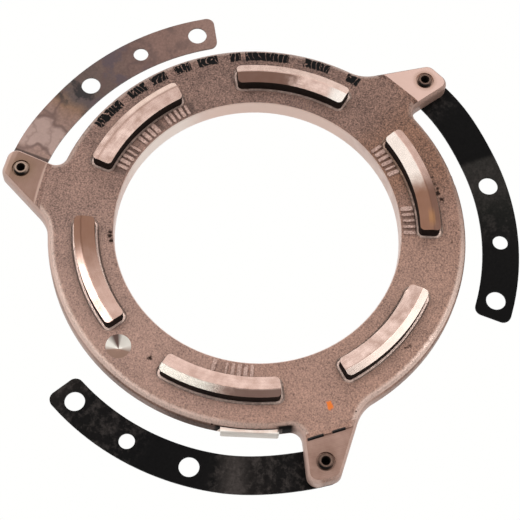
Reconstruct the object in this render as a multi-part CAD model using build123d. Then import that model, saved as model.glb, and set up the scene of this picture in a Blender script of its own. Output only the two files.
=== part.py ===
from build123d import *
from math import atan2, cos, degrees, radians, sin, sqrt
import os

# Clutch pressure plate for a 200 mm diaphragm-spring clutch: a cast-iron ring with
# three lugs, and on each lug a pack of two tangential leaf straps held by one rivet.
# Millimetres. Z = 0 is the friction face and +Z points to the diaphragm spring.
# The first lug stands on +Y; seen from +Z every strap runs clockwise from its lug.

# ---- pressure ring casting ----
BORE_R = 69.3            # inner edge of the friction face
RIM_IN = 8.9             # bore to the inner wall of the lands
RIM_OUT = 13.2           # outer wall of the lands to the ring's outer wall
RING_T = 9.5             # friction face to back face
SHOULDER_R = 4.0         # cast rounding of the back face's outer edge
BORE_BREAK = 0.4         # edge break where the bore meets the back face
FACE_BREAK = 0.3         # edge break round the friction face

# ---- fulcrum lands (the arcs the diaphragm spring presses on) ----
LAND_COUNT = 6
LAND_INSIDE = 6.2        # crest to inner wall
LAND_OUTSIDE = 3.7       # crest to outer wall
LAND_CREST_H = 6.4       # crest above the back face
LAND_IN_FALL = 0.85      # crest to inner edge, in height
LAND_OUT_FALL = 0.8      # crest to outer edge, in height
LAND_SPAN_ANGLE = 38.8   # degrees of arc
LAND_FIRST_ANGLE = 27.2  # first land's middle, degrees clockwise from a lug
LAND_CORNER = 2.2
LAND_CREST_ROUND = 2.0
MOAT_W = 1.0             # relief groove round each land
MOAT_D = 0.9
MOAT_BREAK = 0.8

# ---- lugs ----
LUG_COUNT = 3
LUG_UNDER = 0.5          # lug underside above the friction face
LUG_TIP = 9.0            # rivet centre out to the lug tip
LUG_SIDE_TIP = 10.6      # rivet centre to the strap-side edge, at the tip
LUG_SIDE_ROOT = 6.2      # the same edge where it meets the ring
LUG_BACK_TIP = 4.6       # rivet centre to the far edge, at the tip
LUG_BACK_ROOT = 18.0     # the same edge further in
LUG_BACK_RUN = 21.0      # radial distance between those two
LUG_TIP_ROUND = 5.0
LUG_SLOT_ROUND = 5.5     # closed end of the gap between strap and ring
LUG_BACK_ROUND = 18.0    # long cast fillet from lug to ring
PAD_DROP = 1.0           # machined pad below the back face
PAD_OUT = 6.6            # outer wall to the pad's inner edge
PAD_TURN_ANGLE = 3.0     # degrees the pad edge is turned from the rivet's radius

# ---- balance drilling and ingate pad ----
DRILL_D = 12.0
DRILL_POINT_ANGLE = 118.0
DRILL_IN = 11.7          # outer wall to the drilling's centre
DRILL_ANGLE = 61.4       # degrees clockwise from the third lug
GATE_LENGTH = 27.0
GATE_HEIGHT = 6.5
GATE_PROUD = 1.5         # ground face beyond the outer wall
GATE_BREAK = 0.6
GATE_ANGLE = 17.0        # degrees clockwise from the third lug

# ---- leaf straps ----
LEAF_T = 0.6
LEAF_W = 18.0
LEAF_GAP = 9.7           # ring's outer wall to the strap
LEAF_DROP = 3.0          # foot below the riveted seat, in the free shape
LEAF_END = 9.6           # end of the strip beyond the last hole's centre
LEAF_CORNER = 4.0
LEAF_HEEL = 6.6          # riveted end beyond the rivet's centre, hidden by the lug
LEAF_HEEL_CORNER = 6.5
BEND_NEAR_ANGLE = 7.0    # degrees from the rivet to the first bend
BEND_FAR_ANGLE = 23.0    # degrees from the rivet to the second
HOLE_NEAR_ANGLE = 30.0   # degrees from the rivet
HOLE_MID_ANGLE = 45.0
HOLE_FAR_ANGLE = 60.0
HOLE_D = 9.6             # cover bolts
HOLE_MID_D = 7.6         # locating hole

# ---- rivets ----
RIVET_D = 6.0
RIVET_FIT = 0.1          # radial clearance round the shank
RIVET_HEAD_D = 12.0
RIVET_HEAD_T = 2.0
RIVET_HEAD_BREAK = 0.8
RIVET_BORE_D = 4.0
RIVET_BORE_DEPTH = 6.0
RIVET_FLARE_D = 7.4
RIVET_FLARE_START = 0.2  # shank leaves the counterbore floor before it flares
RIVET_FLARE_RISE = 0.8
RIVET_ROLL = 0.5         # rounding of the rolled end
RIVET_PROUD = 1.3        # rolled end above the pad
SINK_D = 9.0             # counterbore in the pad
SINK_DEPTH = 1.2

PAD_Z = RING_T - PAD_DROP
LAND_IN_R = BORE_R + RIM_IN
LAND_CREST_R = LAND_IN_R + LAND_INSIDE    # the line the spring touches
LAND_OUT_R = LAND_CREST_R + LAND_OUTSIDE
RING_R = LAND_OUT_R + RIM_OUT             # outer wall
RIVET_R = RING_R + LEAF_GAP + LEAF_W / 2  # pitch radius of rivets and strap holes
CREST_Z = RING_T + LAND_CREST_H
SEAT_Z = LUG_UNDER       # top of the upper leaf under the lug
PACK_Z = SEAT_Z - 2 * LEAF_T
REACH = 1.5 * RIVET_R    # longer than any cut has to be
LETTERS = "abc"


def at(radius, clockwise):
    """Point on a radius, measured clockwise from the first lug."""
    a = radians(90 - clockwise)
    return radius * cos(a), radius * sin(a)


def radius_of(vertex):
    return sqrt(vertex.X**2 + vertex.Y**2)


def round_corners(sketch, pick, radius):
    corners = [v for v in sketch.vertices() if pick(v)]
    return fillet(corners, radius) if corners else sketch


def sector(inner, outer, start, end, corner, first=None):
    """Flat arc-shaped strip, clockwise from start to end, with rounded corners.
    The two corners at the start may have a radius of their own."""
    middle = (start + end) / 2
    shape = make_face(
        [
            ThreePointArc(at(outer, start), at(outer, middle), at(outer, end)),
            Line(at(outer, end), at(inner, end)),
            ThreePointArc(at(inner, end), at(inner, middle), at(inner, start)),
            Line(at(inner, start), at(outer, start)),
        ]
    )
    if first is None:
        return fillet(shape.vertices(), corner)
    ends = shape.vertices().sort_by_distance(at((inner + outer) / 2, start))
    shape = fillet(ends[:2], first)
    ends = shape.vertices().sort_by_distance(at((inner + outer) / 2, end))
    return fillet(ends[:2], corner)


def ring_outline():
    """Ring and lugs seen along the axis, with the cast fillets between them."""
    tip = RIVET_R + LUG_TIP
    root = RING_R - 2 * SHOULDER_R
    side_slope = (LUG_SIDE_TIP - LUG_SIDE_ROOT) / (tip - RING_R)
    back_slope = (LUG_BACK_ROOT - LUG_BACK_TIP) / LUG_BACK_RUN
    lug = make_face(
        Polyline(
            (LUG_SIDE_ROOT - side_slope * (RING_R - root), root),
            (LUG_SIDE_TIP, tip),
            (-LUG_BACK_TIP, tip),
            (-LUG_BACK_TIP - back_slope * (tip - root), root),
            close=True,
        )
    )
    outline = Circle(RING_R)
    for i in range(LUG_COUNT):
        outline += Rot(0, 0, -360 / LUG_COUNT * i) * lug

    def behind_lug(v):
        clockwise = (90 - degrees(atan2(v.Y, v.X))) % (360 / LUG_COUNT)
        return clockwise > 180 / LUG_COUNT

    def on_ring(v):
        return abs(radius_of(v) - RING_R) < 0.01

    outline = round_corners(outline, lambda v: radius_of(v) > RIVET_R, LUG_TIP_ROUND)
    outline = round_corners(outline, lambda v: on_ring(v) and behind_lug(v), LUG_BACK_ROUND)
    return round_corners(outline, lambda v: on_ring(v) and not behind_lug(v), LUG_SLOT_ROUND)


def land():
    """One fulcrum land at the first lug's angle: arc in plan, ridge in section."""
    half = LAND_SPAN_ANGLE / 2
    low = RING_T - MOAT_D
    past = MOAT_W
    block = extrude(
        Pos(0, 0, low) * sector(LAND_IN_R, LAND_OUT_R, -half, half, LAND_CORNER),
        LAND_CREST_H + MOAT_D + past,
    )
    in_slope = LAND_IN_FALL / LAND_INSIDE
    out_slope = LAND_OUT_FALL / LAND_OUTSIDE
    section = make_face(
        Polyline(
            (LAND_IN_R - past, 0, low - past),
            (LAND_OUT_R + past, 0, low - past),
            (LAND_OUT_R + past, 0, CREST_Z - LAND_OUT_FALL - out_slope * past),
            (LAND_CREST_R, 0, CREST_Z),
            (LAND_IN_R - past, 0, CREST_Z - LAND_IN_FALL - in_slope * past),
            close=True,
        )
    )
    crest = section.vertices().sort_by(Axis.Z)[-1]
    section = fillet(crest, LAND_CREST_ROUND)
    return block & revolve(section, Axis.Z, 360)


def moat():
    """Groove round one land, cut into the back face."""
    half = LAND_SPAN_ANGLE / 2 + degrees(MOAT_W / LAND_CREST_R)
    shape = sector(
        LAND_IN_R - MOAT_W, LAND_OUT_R + MOAT_W, -half, half, LAND_CORNER + MOAT_W
    )
    return extrude(Pos(0, 0, RING_T - MOAT_D) * shape, MOAT_D + 1)


def pressure_ring():
    outline = ring_outline()
    body = extrude(Pos(0, 0, LUG_UNDER) * outline, RING_T - LUG_UNDER)
    back = body.faces().sort_by(Axis.Z)[-1]
    body = fillet(back.outer_wire().edges(), SHOULDER_R)
    body += extrude(Circle(RING_R), LUG_UNDER)
    body = Solid(body.solids()[0].wrapped)

    body -= extrude(Pos(0, 0, -1) * Circle(BORE_R), RING_T + 2)
    edges = body.edges().filter_by(GeomType.CIRCLE)
    bore = [e for e in edges if abs(e.radius - BORE_R) < 0.01 and e.center().Z > 0.01]
    body = chamfer(bore, BORE_BREAK)
    face = body.faces().sort_by(Axis.Z)[0]
    body = chamfer(face.outer_wire().edges(), FACE_BREAK)

    # machined pads, rivet holes and counterbores
    pad = Pos(0, RING_R + PAD_OUT + REACH / 2, PAD_Z + RING_T / 2) * Box(REACH, REACH, RING_T)
    pad = Rot(0, 0, PAD_TURN_ANGLE) * pad
    hole = Pos(0, RIVET_R, RING_T / 2) * Cylinder(RIVET_D / 2 + RIVET_FIT, 2 * RING_T)
    sink = Pos(0, RIVET_R, PAD_Z - SINK_DEPTH / 2) * Cylinder(SINK_D / 2, SINK_DEPTH)
    for i in range(LUG_COUNT):
        turn = Rot(0, 0, -360 / LUG_COUNT * i)
        body -= turn * (pad + hole + sink)

    # moats first, then the lands that stand in them
    for i in range(LAND_COUNT):
        body -= Rot(0, 0, -LAND_FIRST_ANGLE - 360 / LAND_COUNT * i) * moat()
    rims = [e for e in body.edges() if is_moat_rim(e)]
    body = chamfer(rims, MOAT_BREAK)
    for i in range(LAND_COUNT):
        body += Rot(0, 0, -LAND_FIRST_ANGLE - 360 / LAND_COUNT * i) * land()

    # balance drilling beside a land
    depth = DRILL_D / 2 / tan_of(DRILL_POINT_ANGLE / 2)
    third_lug = 360 / LUG_COUNT * (LUG_COUNT - 1)
    x, y = at(RING_R - DRILL_IN, third_lug + DRILL_ANGLE)
    body -= Pos(x, y, RING_T - depth / 2) * Cone(0, DRILL_D / 2, depth)

    # ground ingate pad on the outer wall
    turn = Rot(0, 0, -third_lug - GATE_ANGLE)
    depth = SHOULDER_R + GATE_PROUD
    gate = Box(GATE_LENGTH, depth, GATE_HEIGHT)
    gate = chamfer(gate.faces().sort_by(Axis.Y)[-1].edges(), GATE_BREAK)
    y = RING_R + GATE_PROUD - depth / 2
    body += turn * Pos(0, y, LUG_UNDER + GATE_HEIGHT / 2) * gate
    return body


def tan_of(angle):
    return sin(radians(angle)) / cos(radians(angle))


def is_moat_rim(edge):
    """Edges of the moats that lie in the back face."""
    box = edge.bounding_box()
    if abs(box.min.Z - RING_T) > 0.001 or abs(box.max.Z - RING_T) > 0.001:
        return False
    r = [sqrt((edge @ t).X ** 2 + (edge @ t).Y ** 2) for t in (0.0, 0.5, 1.0)]
    return min(r) > LAND_IN_R - MOAT_W - 0.01 and max(r) < LAND_OUT_R + MOAT_W + 0.01


def leaf(layer):
    """One strap leaf at the first lug; layer 0 lies against the lug."""
    heel, end = degrees(LEAF_HEEL / RIVET_R), degrees(LEAF_END / RIVET_R)
    inner, outer = RIVET_R - LEAF_W / 2, RIVET_R + LEAF_W / 2
    outline = sector(inner, outer, -heel, HOLE_FAR_ANGLE + end, LEAF_CORNER, LEAF_HEEL_CORNER)
    outline -= Pos(*at(RIVET_R, 0)) * Circle(RIVET_D / 2 + RIVET_FIT)
    outline -= Pos(*at(RIVET_R, HOLE_NEAR_ANGLE)) * Circle(HOLE_D / 2)
    outline -= Pos(*at(RIVET_R, HOLE_MID_ANGLE)) * Circle(HOLE_MID_D / 2)
    outline -= Pos(*at(RIVET_R, HOLE_FAR_ANGLE)) * Circle(HOLE_D / 2)
    blank = extrude(Pos(0, 0, -REACH) * outline, 2 * REACH)

    # side view of the joggled strip, square to the middle of the slope
    middle = (BEND_NEAR_ANGLE + BEND_FAR_ANGLE) / 2
    run = RIVET_R * sin(radians(BEND_FAR_ANGLE - BEND_NEAR_ANGLE) / 2)
    top = SEAT_Z - layer * LEAF_T
    high = [(-REACH, top), (-run, top), (run, top - LEAF_DROP), (REACH, top - LEAF_DROP)]
    low = [(x, z - LEAF_T) for x, z in reversed(high)]
    side = make_face(Polyline(*[(x, 0, z) for x, z in high + low], close=True))
    strip = extrude(side, REACH, dir=(0, 1, 0))
    return blank & (Rot(0, 0, -middle) * strip)


def rivet():
    """Semi-tubular rivet: flat head below the leaves, end rolled over the lug."""
    r = RIVET_D / 2
    bore = RIVET_BORE_D / 2
    flare = RIVET_FLARE_D / 2
    tip = PAD_Z + RIVET_PROUD
    flare_z = PAD_Z - SINK_DEPTH + RIVET_FLARE_START
    head = PACK_Z - RIVET_HEAD_T
    body = make_face(
        Polyline(
            (0, 0, head),
            (RIVET_HEAD_D / 2 - RIVET_HEAD_BREAK, 0, head),
            (RIVET_HEAD_D / 2, 0, head + RIVET_HEAD_BREAK),
            (RIVET_HEAD_D / 2, 0, PACK_Z),
            (r, 0, PACK_Z),
            (r, 0, flare_z),
            (flare, 0, flare_z + RIVET_FLARE_RISE),
            (flare, 0, tip - RIVET_ROLL),
            (flare - RIVET_ROLL, 0, tip),
            (bore + RIVET_ROLL, 0, tip),
            (bore, 0, tip - RIVET_ROLL),
            (bore, 0, tip - RIVET_BORE_DEPTH),
            (0, 0, tip - RIVET_BORE_DEPTH - bore / 2),
            close=True,
        )
    )
    return Pos(0, RIVET_R, 0) * revolve(body, Axis.Z, 360)


def write(shape, name):
    solid = shape.solids()[0]
    solid.label = name
    export_step(solid, f"parts/{name}.step")
    box = solid.bounding_box()
    print(f"{name:22s} {solid.volume:10.1f} mm3  z {box.min.Z:6.2f} to {box.max.Z:6.2f}")


os.makedirs("parts", exist_ok=True)
write(pressure_ring(), "pressure_ring")
upper, lower, pin = leaf(0), leaf(1), rivet()
for i in range(LUG_COUNT):
    turn = Rot(0, 0, -360 / LUG_COUNT * i)
    write(turn * upper, f"strap_{LETTERS[i]}_upper_leaf")
    write(turn * lower, f"strap_{LETTERS[i]}_lower_leaf")
    write(turn * pin, f"rivet_{LETTERS[i]}")
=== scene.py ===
# %% [markdown]
# # Clutch pressure plate
# A pressure plate is the iron ring that squeezes the clutch disc. Six raised lands on its
# back carry the diaphragm spring, and three lugs carry packs of thin leaf straps, each held
# by one hollow rivet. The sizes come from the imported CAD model, which is loaded first and
# never changed: every piece below is dressed over the solid that it stands for.

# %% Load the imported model
import math
from functools import reduce

import bmesh
import bpy
from mathutils import Matrix, Vector


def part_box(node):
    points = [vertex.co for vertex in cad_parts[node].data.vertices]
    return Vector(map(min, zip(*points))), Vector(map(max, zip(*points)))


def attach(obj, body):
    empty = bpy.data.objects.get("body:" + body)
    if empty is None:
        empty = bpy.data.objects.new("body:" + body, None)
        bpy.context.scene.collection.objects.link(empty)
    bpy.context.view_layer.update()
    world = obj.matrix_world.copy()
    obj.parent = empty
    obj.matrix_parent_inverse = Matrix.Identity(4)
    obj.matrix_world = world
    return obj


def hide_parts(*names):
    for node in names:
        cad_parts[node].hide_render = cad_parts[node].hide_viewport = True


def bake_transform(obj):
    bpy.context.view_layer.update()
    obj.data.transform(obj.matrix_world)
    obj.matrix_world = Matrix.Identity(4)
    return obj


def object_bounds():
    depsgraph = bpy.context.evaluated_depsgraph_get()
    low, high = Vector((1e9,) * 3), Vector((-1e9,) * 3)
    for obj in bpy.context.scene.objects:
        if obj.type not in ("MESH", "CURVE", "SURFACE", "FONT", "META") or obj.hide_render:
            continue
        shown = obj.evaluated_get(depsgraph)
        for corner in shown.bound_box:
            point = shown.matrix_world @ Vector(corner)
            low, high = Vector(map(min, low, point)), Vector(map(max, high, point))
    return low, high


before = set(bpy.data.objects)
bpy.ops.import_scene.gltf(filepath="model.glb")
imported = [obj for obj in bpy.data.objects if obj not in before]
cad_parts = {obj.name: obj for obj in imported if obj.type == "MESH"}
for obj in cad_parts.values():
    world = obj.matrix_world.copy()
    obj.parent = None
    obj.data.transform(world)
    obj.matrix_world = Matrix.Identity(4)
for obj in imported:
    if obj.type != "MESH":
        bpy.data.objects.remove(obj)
cad_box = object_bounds()
print("nodes", sorted(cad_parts))

# %% [markdown]
# ## Sizes
# Blender works in metres and a machinist in millimetres, so one constant converts. The
# pitch radius of the rivets is measured on the CAD rivet rather than typed twice. Angles
# are counted clockwise from the first lug, because that is the way the straps run.

# %% Sizes shared by several pieces
MM = 0.001
BORE_R = 69.3            # inner edge of the ring
RING_R = 101.3           # outer wall of the ring
RING_T = 9.5             # thickness of the ring
LAND_IN_R, LAND_OUT_R = 78.2, 88.1
PAD_Z = 8.5              # milled pad on each lug
LUG_TURN = 120.0         # degrees from one lug to the next
LUGS = "abc"

low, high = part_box("rivet_a")
RIVET_R = (low.y + high.y) / 2 / MM
RIVET_LOW, RIVET_TOP = low.z / MM, high.z / MM
print(f"rivets stand on a circle of radius {RIVET_R:.1f} mm")


def at(radius, clockwise, height=0.0):
    """A point in metres from a radius and a height in millimetres."""
    a = math.radians(90 - clockwise)
    return Vector((radius * math.cos(a), radius * math.sin(a), height)) * MM


def clockwise_of(point):
    return (90 - math.degrees(math.atan2(point.y, point.x))) % 360


# %% [markdown]
# ## Small helpers for node trees
# Shader and geometry trees are both built by adding nodes and joining sockets. A few short
# helpers keep the cells readable: one adds a node and fills its inputs, with a value or
# with a link, and the others do sums. A socket knows its own tree, so sums need no tree.

# %% Helpers
def tree_of(*values):
    """The tree of the first socket among some values."""
    return next(v.id_data for v in values if isinstance(v, bpy.types.NodeSocket))


def fill(node, values):
    for key, value in values.items():
        if isinstance(value, bpy.types.NodeSocket):
            node.id_data.links.new(value, node.inputs[key])
        else:
            node.inputs[key].default_value = value
    return node


def add(tree, kind, values=None, **settings):
    node = tree.nodes.new(kind)
    for name, value in settings.items():
        setattr(node, name, value)
    return fill(node, values or {})


def shade(kind, values, **settings):
    """A shader node in the tree of its inputs."""
    return add(tree_of(*values.values()), "ShaderNode" + kind, values, **settings)


def calc(operation, a, b=0.0, clamp=False):
    return shade("Math", {0: a, 1: b}, operation=operation, use_clamp=clamp).outputs[0]


def chained(operation):
    """A sum of two or more values, taken from left to right."""
    return lambda *values: reduce(lambda a, b: calc(operation, a, b), values)


plus, minus, times, over, highest = map(
    chained, ("ADD", "SUBTRACT", "MULTIPLY", "DIVIDE", "MAXIMUM"))


def remap(value, low, high, top=1.0, **settings):
    """0 at the low end and top at the high end, and steady beyond both."""
    values = {"Value": value, "From Min": low, "From Max": high, "To Max": top}
    return shade("MapRange", values, **settings).outputs[0]


# %% [markdown]
# Vectors are taken apart and put together, moved with a Mapping node, and used to read
# noise. Noise about zero, times an amount, is what makes a straight border ragged.

# %% Helpers for vectors and noise
def xyz(vector):
    return shade("SeparateXYZ", {0: vector}).outputs


def joined(x=0.0, y=0.0, z=0.0):
    return shade("CombineXYZ", {0: x, 1: y, 2: z}).outputs[0]


def moved(vector, location=(0, 0, 0), turn=0.0, scale=1.0):
    """A vector scaled, turned by some degrees about Z, and shifted."""
    return shade("Mapping", {"Vector": vector, "Location": location,
                             "Rotation": (0, 0, math.radians(turn)),
                             "Scale": (scale, scale, scale)}).outputs[0]


def away_from(vector, point):
    """Distance from a point, in millimetres."""
    node = shade("VectorMath", {0: vector, 1: point}, operation="DISTANCE")
    return over(node.outputs["Value"], MM)


def noise(vector, scale, detail=2.0, roughness=0.5):
    return shade("TexNoise", {"Vector": vector, "Scale": scale, "Detail": detail,
                              "Roughness": roughness}).outputs[0]


def wobble(vector, amount, *settings):
    return times(minus(noise(vector, *settings), 0.5), amount)


# %% [markdown]
# Effects that several materials use are shader groups. A group has named sockets: a place
# is a vector, and all the rest are numbers.

# %% Helpers for groups
def new_tree(name, kind, inputs, outputs):
    """A socket has a number to start from, or else the name of its kind. Gives the tree,
    its inputs and its end."""
    tree = bpy.data.node_groups.new(name, kind)
    for way, sockets in (("INPUT", inputs), ("OUTPUT", outputs)):
        for label, value in sockets.items():
            named = isinstance(value, str)
            word = value if named else type(value).__name__.capitalize()
            socket = tree.interface.new_socket(label, in_out=way,
                                               socket_type="NodeSocket" + word)
            if not named:
                socket.default_value = value
    source = tree.nodes.new("NodeGroupInput")
    return tree, source.outputs, tree.nodes.new("NodeGroupOutput")


def spaced(values):
    """Python names can't hold spaces, so sockets are named with underscores here."""
    return {name.replace("_", " "): value for name, value in values.items()}


def new_group(name, outputs, **inputs):
    """A shader group; the names of its outputs, all numbers, stand in one string."""
    return new_tree(name, "ShaderNodeTree", spaced(inputs),
                    dict.fromkeys(outputs.split(), "Float"))


def use_group(group, **values):
    return shade("Group", spaced(values), node_tree=group).outputs


# %% [markdown]
# ## Where on the plate am I?
# Most marks on this part follow its circles: turned lines, stains along a strap, ink on the
# rim. The first group turns Object coordinates into a radius in millimetres and an angle in
# degrees clockwise from the first lug, and the second one opens a soft window on a number.

# %% Shader groups: polar place and soft window
polar, source, sink = new_group("polar_place", "Radius Clockwise", Vector="Vector")
x, y, _ = xyz(source["Vector"])
length = shade("VectorMath", {0: joined(x, y)}, operation="LENGTH")
angle = minus(90.0, calc("DEGREES", calc("ARCTAN2", y, x)))
fill(sink, {"Radius": over(length.outputs["Value"], MM),
            "Clockwise": calc("FLOORED_MODULO", angle, 360.0)})

window, source, sink = new_group(
    "soft_window", "Mask", Value=0.0, Low=0.0, High=1.0, Soft=0.1)


def rise(edge):
    """0 below an edge and 1 above it, with a soft step."""
    return remap(source["Value"], minus(edge, source["Soft"]), plus(edge, source["Soft"]),
                 interpolation_type="SMOOTHSTEP")


fill(sink, {"Mask": times(rise(source["Low"]), minus(1.0, rise(source["High"])))})


def between(value, low, high, soft):
    return use_group(window, Value=value, Low=low, High=high, Soft=soft)["Mask"]


print("groups", polar.name, window.name)

# %% [markdown]
# ## Cast skin
# Grey iron poured in sand keeps the print of the grains: a fine, even tooth with a softer
# unevenness below it and a few pinholes. The group gives a height for the Bump node and a
# tone for the colour, from the same noises, so that pits are dark where they are deep.

# %% Shader group: cast grain
cast_grain, source, sink = new_group(
    "cast_grain", "Height Tone", Vector="Vector", Grains_per_metre=1250.0, Contrast=1.0)
place, grains = source["Vector"], source["Grains per metre"]
pits = shade("TexVoronoi", {"Vector": place, "Scale": times(grains, 0.8)})
height = plus(minus(noise(place, grains, 3.0, 0.7), 0.5),
              times(minus(0.45, pits.outputs[0]), 0.22))
clumps = wobble(place, 0.22, times(grains, 0.45), 2.0, 0.6)
tone = times(plus(times(height, 0.85), clumps), source["Contrast"])
tone = plus(tone, wobble(place, 0.6, 55.0, 4.0, 0.6))
fill(sink, {"Height": height, "Tone": calc("ADD", tone, 0.5, clamp=True)})

# %% [markdown]
# ## Turned lines
# A lathe tool leaves rings about the axis, and a grinding wheel leaves finer ones. A sine
# of the radius is enough, as long as its strength wanders round the circle; without that
# it looks like a record groove.

# %% Shader group: turned lines
turned_lines, source, sink = new_group(
    "turned_lines", "Height Tone", Vector="Vector", Pitch=0.35)
radius = use_group(polar, Vector=source["Vector"])["Radius"]
wave = calc("SINE", times(over(radius, source["Pitch"]), 2 * math.pi))
height = times(wave, noise(source["Vector"], 90.0))
ring_noise = shade("TexNoise", {"W": times(radius, 1.7), "Scale": 1.0},
                   noise_dimensions="1D")
fill(sink, {"Height": height, "Tone": plus(times(height, 0.25), ring_noise.outputs[0])})

# %% [markdown]
# ## Oil film, painted light and specks
# Machined iron is oiled so that it doesn't rust on the shelf. The film dries in patches
# with a ragged edge, brown where it is thick. The group takes a place along the part and a
# stretch of it, and roughens the edge of that stretch with noise. The same ragged patches
# also lay painted light and painted shadow on the skin. Specks are rare dark grains of
# slag: the middle of a few Voronoi cells.

# %% Shader groups: ragged patches and specks
ragged_patch, source, sink = new_group(
    "ragged_patch", "Mask", Vector="Vector", Place=0.0, Low=0.0, High=1.0, Soft=1.0, Ragged=2.0)
shift = wobble(source["Vector"], source["Ragged"], 260.0, 4.0, 0.65)
fill(sink, {"Mask": between(plus(source["Place"], shift), source["Low"], source["High"],
                            source["Soft"])})


def film(coords, place, low, high, soft, ragged):
    return use_group(ragged_patch, Vector=coords, Place=place, Low=low, High=high, Soft=soft,
                     Ragged=ragged)["Mask"]


specks, source, sink = new_group(
    "specks", "Mask", Vector="Vector", Specks_per_metre=160.0, Size=0.1)
cells = shade("TexVoronoi", {"Vector": source["Vector"],
                             "Scale": source["Specks per metre"]}).outputs
pick = shade("SeparateColor", {0: cells["Color"]}).outputs[0]
fill(sink, {"Mask": times(calc("LESS_THAN", cells["Distance"], source["Size"]),
                          calc("GREATER_THAN", pick, 0.86))})
print("groups", sorted(g.name for g in bpy.data.node_groups))

# %% [markdown]
# ## Ink on the rim
# A finished plate is stamped with ink near its outer edge. Here it is only a row of short
# strokes in groups, with no letters or numbers. A colour ramp with hard steps, read by the
# angle, opens and closes the groups, and a sine of the angle cuts them into strokes. Noise
# shakes the strokes, smudges their ends and leaves skips.

# %% Shader group: ink strokes
def grey(share):
    return (share, share, share, 1.0)


def colour_ramp(value, stops, interpolation="LINEAR"):
    """Colours along a number; a stop is a position from 0 to 1 and a linear colour."""
    node = shade("ValToRGB", {0: value})
    ramp = node.color_ramp
    ramp.interpolation = interpolation
    for element, (position, tint) in zip(list(ramp.elements), (stops[0], stops[-1])):
        element.position, element.color = position, tint
    for position, tint in stops[1:-1]:
        ramp.elements.new(position).color = tint
    return node.outputs[0]


INK_GROUPS = [(19.5, 30), (33, 39), (41.2, 46.2), (49, 54), (56.5, 62.5),
              (66.2, 69.6), (71.2, 84), (89, 96.8), (102.6, 106.8)]
INK_SPAN = 120.0         # degrees that the ramp covers
INK_IN_R, INK_OUT_R = 94.0, 99.2
STROKES = 4.1            # strokes in 2 pi degrees
ink, source, sink = new_group("ink_strokes", "Mask", Vector="Vector")
place = source["Vector"]
radius, turn = use_group(polar, Vector=place)
steps = [(0.0, grey(0.0))]
for start, end in INK_GROUPS:
    steps += [(start / INK_SPAN, grey(1.0)), (end / INK_SPAN, grey(0.0))]
groups = colour_ramp(over(turn, INK_SPAN), steps, "CONSTANT")
smudge = wobble(place, 1.5, 500.0, 1.0)
band = between(plus(radius, smudge), INK_IN_R, INK_OUT_R, 0.3)
shaken = plus(turn, times(smudge, 0.45), times(noise(place, 140.0, 0.0), 4.0))
stroke = calc("GREATER_THAN", calc("SINE", times(shaken, STROKES)),
              minus(times(smudge, 0.25), 0.95))
stroke = times(stroke, calc("LESS_THAN", noise(place, 800.0, 0.0), 0.76))
fill(sink, {"Mask": times(groups, times(band, stroke))})
print("ink", len(INK_GROUPS), "groups of strokes")

# %% [markdown]
# On the third lug a painted shadow lies along the foot of the step as a dark line, broken
# in the middle. A Mapping node turns the part so that this step lies square to Y, and then
# the line is a window on Y and two windows on X.

# %% Shader group: painted step shadow
STEP_R, STEP_TURN = 107.9, 237.0
STEP_SHADOW_HALVES = ((-7.4, -0.9), (3.2, 11.0))    # the two halves of the line, along the step
step_shadow_line, source, sink = new_group("step_shadow_line", "Mask", Vector="Vector")
x, y, z = xyz(moved(source["Vector"], turn=STEP_TURN, scale=1 / MM))
depth = between(y, STEP_R - 0.65, STEP_R + 0.55, 0.15)
halves = [between(x, start, end, 0.2) for start, end in STEP_SHADOW_HALVES]
upper_side = calc("GREATER_THAN", z, 5.0)
fill(sink, {"Mask": times(depth, upper_side, plus(*halves))})
# prints the two halves of the painted shadow along the step
print("scored line", STEP_SHADOW_HALVES, "mm along the step")

# %% [markdown]
# A few slag spots are placed one by one: each is a short distance from a given point, made
# ragged with noise.

# %% Shader group: slag spots
# clockwise angle, radius and size
SPOTS = [(152, 90.9, 1), (150.4, 91.2, 0.6), (148.6, 90.8, 0.4), (146.4, 90.8, 0.4),
         (154.2, 91.7, 0.9), (163, 95.5, 0.4), (168.5, 94, 0.35), (204.9, 93.2, 0.6),
         (205.6, 92.6, 0.45), (206.2, 92.2, 0.35), (291.5, 84, 0.9), (339, 70.6, 1),
         (340.7, 71.4, 1.1), (342.4, 71.1, 0.7), (133, 95, 0.4)]
slag_spots, source, sink = new_group("slag_spots", "Mask", Vector="Vector")
rag = wobble(source["Vector"], 2.6, 800.0)
fill(sink, {"Mask": highest(*[
    remap(plus(away_from(source["Vector"], at(radius, turn, RING_T)), rag),
          size + 0.5, size - 0.4) for turn, radius, size in SPOTS])})
print("slag", len(SPOTS), "spots")

# %% [markdown]
# ## Materials for the casting
# The shader itself stays in each material, and the groups feed its colour, roughness and
# normal. A constant such as the specular level is set on the shader's own socket. Colours
# are written as a screen shows them and turned into the linear values that a shader wants.

# %% Material helpers
def colour(red, green, blue):
    linear = [((c / 255 + 0.055) / 1.055) ** 2.4 if c > 10 else c / 255 / 12.92
              for c in (red, green, blue)]
    return (*linear, 1.0)


def new_material(name, roughness, metallic=0.0, specular=0.5):
    """A material with its shader and its Object coordinates."""
    material = bpy.data.materials.new(name)
    material.use_nodes = True
    shader = material.node_tree.nodes["Principled BSDF"]
    fill(shader, {"Roughness": roughness, "Metallic": metallic,
                  "Specular IOR Level": specular})
    return material, shader, add(material.node_tree, "ShaderNodeTexCoord").outputs["Object"]


def bump(shader, height, depth):
    """depth is how tall the height's full range is, in metres."""
    node = shade("Bump", {"Height": height, "Distance": depth})
    fill(shader, {"Normal": node.outputs[0]})


def mix(factor, a, b, blend="MIX"):
    return shade("Mix", {0: factor, 6: a, 7: b}, data_type="RGBA",
                 blend_type=blend).outputs[2]


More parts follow.
